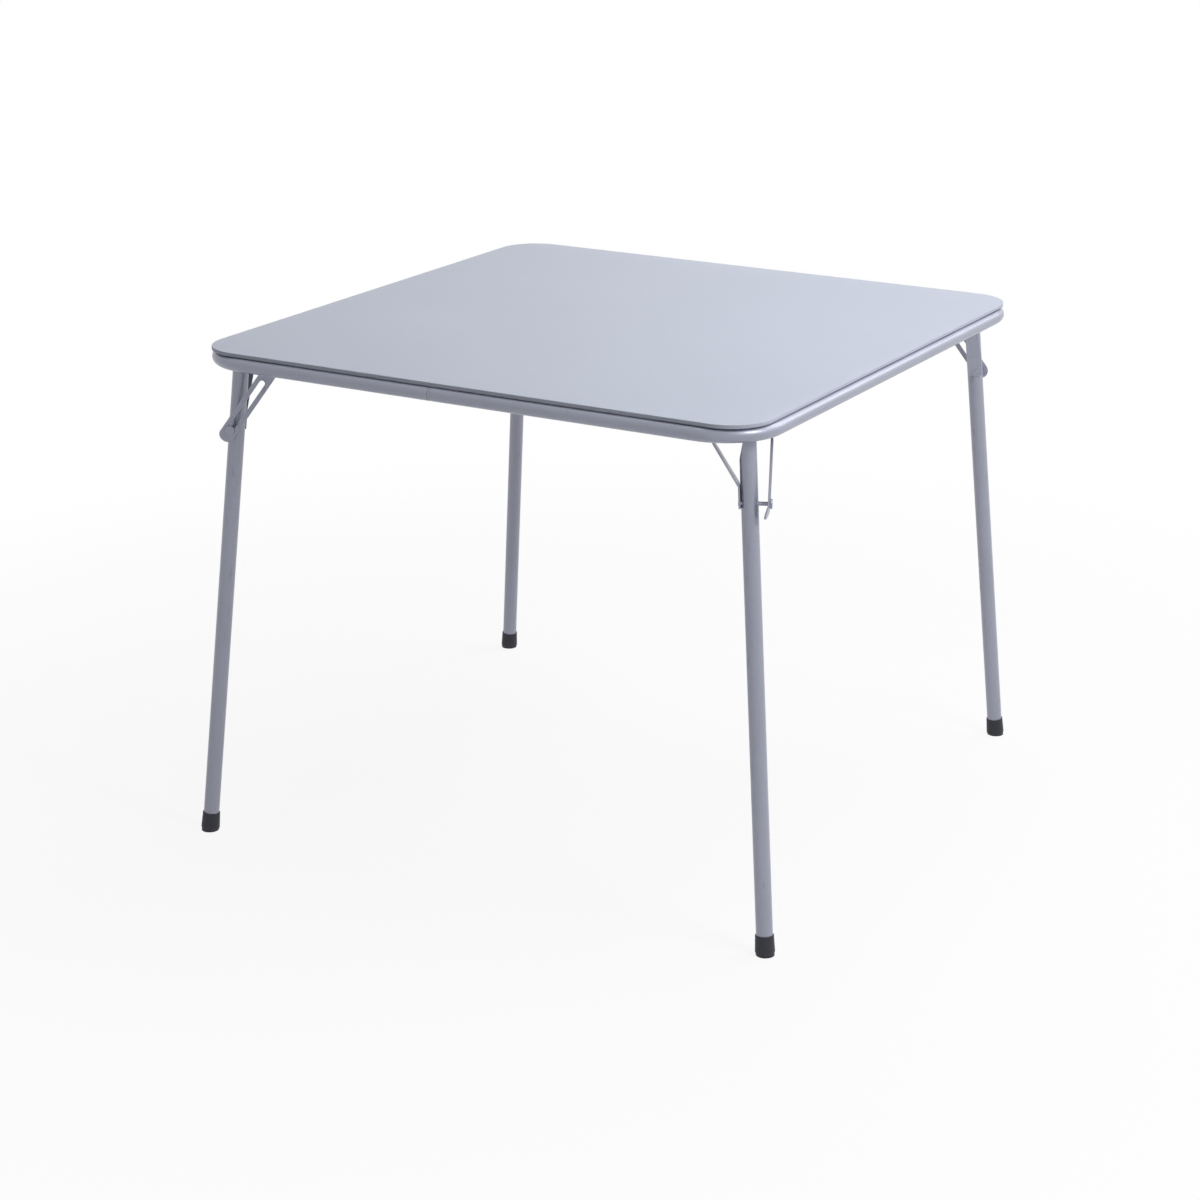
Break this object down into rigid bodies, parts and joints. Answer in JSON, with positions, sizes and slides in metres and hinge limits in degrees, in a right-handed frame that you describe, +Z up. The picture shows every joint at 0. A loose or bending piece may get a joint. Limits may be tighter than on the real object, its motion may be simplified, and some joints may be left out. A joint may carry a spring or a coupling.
{
  "type": "folding card table",
  "caption": "Square folding card table: thin padded vinyl top on a bent steel tube frame, legs that fold under the top, slotted braces and rubber feet.",
  "frame": {"origin": "on the floor under the middle of the table top", "axes": "+Z up, -Y towards the front rail with the tube's seam, +X to the right seen from the front"},
  "size_m": [0.933, 0.933, 0.6985],
  "materials": {
    "powder_coated_steel": "silver-grey powder coat, semi-gloss",
    "zinc_plated_steel": "zinc plated",
    "vinyl": "pale blue-grey embossed vinyl",
    "hardboard": "pressed fibreboard, smooth",
    "foam_pad": "thin soft foam",
    "black_rubber": "matt moulded rubber"
  },
  "bodies": {
    "table_frame": {"frame_tube": "powder_coated_steel", "joint_sleeve": "powder_coated_steel", "top_board": "hardboard", "top_padding": "foam_pad", "top_cover": "vinyl", "top_screws": "zinc_plated_steel", "left_front_corner_bracket": "powder_coated_steel", "left_front_hinge_rod": "zinc_plated_steel", "left_front_brace_rivet": "powder_coated_steel", "right_front_corner_bracket": "powder_coated_steel", "right_front_hinge_rod": "zinc_plated_steel", "right_front_brace_rivet": "powder_coated_steel", "right_back_corner_bracket": "powder_coated_steel", "right_back_hinge_rod": "zinc_plated_steel", "right_back_brace_rivet": "powder_coated_steel", "left_back_corner_bracket": "powder_coated_steel", "left_back_hinge_rod": "zinc_plated_steel", "left_back_brace_rivet": "powder_coated_steel"},
    "left_front_leg": {"left_front_leg_tube": "powder_coated_steel", "left_front_foot_cap": "black_rubber", "left_front_side_strut": "powder_coated_steel", "left_front_brace_pin": "powder_coated_steel"},
    "left_front_brace": {"left_front_slotted_brace": "powder_coated_steel"},
    "left_front_button": {"left_front_slide_button": "powder_coated_steel"},
    "right_front_leg": {"right_front_leg_tube": "powder_coated_steel", "right_front_foot_cap": "black_rubber", "right_front_side_strut": "powder_coated_steel", "right_front_brace_pin": "powder_coated_steel"},
    "right_front_brace": {"right_front_slotted_brace": "powder_coated_steel"},
    "right_front_button": {"right_front_slide_button": "powder_coated_steel"},
    "right_back_leg": {"right_back_leg_tube": "powder_coated_steel", "right_back_foot_cap": "black_rubber", "right_back_side_strut": "powder_coated_steel", "right_back_brace_pin": "powder_coated_steel"},
    "right_back_brace": {"right_back_slotted_brace": "powder_coated_steel"},
    "right_back_button": {"right_back_slide_button": "powder_coated_steel"},
    "left_back_leg": {"left_back_leg_tube": "powder_coated_steel", "left_back_foot_cap": "black_rubber", "left_back_side_strut": "powder_coated_steel", "left_back_brace_pin": "powder_coated_steel"},
    "left_back_brace": {"left_back_slotted_brace": "powder_coated_steel"},
    "left_back_button": {"left_back_slide_button": "powder_coated_steel"}
  },
  "joints": [
    {"name": "left_front_leg_fold", "type": "hinge", "parent": "table_frame", "child": "left_front_leg", "pos_m": [-0.37, -0.3925, 0.6749], "axis": [0.4067, -0.9135, 0], "range_deg": [0, 95.6]},
    {"name": "left_front_brace_swing", "type": "hinge", "parent": "table_frame", "child": "left_front_brace", "pos_m": [-0.31314, -0.39753, 0.6779], "axis": [0.4067, -0.9135, 0], "range_deg": [0, 114.25]},
    {"name": "left_front_button_slide", "type": "slide", "parent": "left_front_brace", "child": "left_front_button", "axis": [0.5292, 0.2356, 0.8151], "range_m": [0, 0.07128]},
    {"name": "right_front_leg_fold", "type": "hinge", "parent": "table_frame", "child": "right_front_leg", "pos_m": [0.3925, -0.37, 0.6749], "axis": [0.9135, 0.4067, 0], "range_deg": [0, 95.6]},
    {"name": "right_front_brace_swing", "type": "hinge", "parent": "table_frame", "child": "right_front_brace", "pos_m": [0.39753, -0.31314, 0.6779], "axis": [0.9135, 0.4067, 0], "range_deg": [0, 114.25]},
    {"name": "right_front_button_slide", "type": "slide", "parent": "right_front_brace", "child": "right_front_button", "axis": [-0.2356, 0.5292, 0.8151], "range_m": [0, 0.07128]},
    {"name": "right_back_leg_fold", "type": "hinge", "parent": "table_frame", "child": "right_back_leg", "pos_m": [0.37, 0.3925, 0.6749], "axis": [-0.4067, 0.9135, 0], "range_deg": [0, 95.6]},
    {"name": "right_back_brace_swing", "type": "hinge", "parent": "table_frame", "child": "right_back_brace", "pos_m": [0.31314, 0.39753, 0.6779], "axis": [-0.4067, 0.9135, 0], "range_deg": [0, 114.25]},
    {"name": "right_back_button_slide", "type": "slide", "parent": "right_back_brace", "child": "right_back_button", "axis": [-0.5292, -0.2356, 0.8151], "range_m": [0, 0.07128]},
    {"name": "left_back_leg_fold", "type": "hinge", "parent": "table_frame", "child": "left_back_leg", "pos_m": [-0.3925, 0.37, 0.6749], "axis": [-0.9135, -0.4067, 0], "range_deg": [0, 95.6]},
    {"name": "left_back_brace_swing", "type": "hinge", "parent": "table_frame", "child": "left_back_brace", "pos_m": [-0.39753, 0.31314, 0.6779], "axis": [-0.9135, -0.4067, 0], "range_deg": [0, 114.25]},
    {"name": "left_back_button_slide", "type": "slide", "parent": "left_back_brace", "child": "left_back_button", "axis": [0.2356, -0.5292, 0.8151], "range_m": [0, 0.07128]}
  ],
  "couplings": [
    {"joint": "left_front_brace_swing", "follows": "left_front_leg_fold", "ratio": 1.195},
    {"joint": "left_front_button_slide", "follows": "left_front_leg_fold", "m_per_rad": 0.042711},
    {"joint": "right_front_brace_swing", "follows": "right_front_leg_fold", "ratio": 1.195},
    {"joint": "right_front_button_slide", "follows": "right_front_leg_fold", "m_per_rad": 0.042711},
    {"joint": "right_back_brace_swing", "follows": "right_back_leg_fold", "ratio": 1.195},
    {"joint": "right_back_button_slide", "follows": "right_back_leg_fold", "m_per_rad": 0.042711},
    {"joint": "left_back_brace_swing", "follows": "left_back_leg_fold", "ratio": 1.195},
    {"joint": "left_back_button_slide", "follows": "left_back_leg_fold", "m_per_rad": 0.042711}
  ]
}
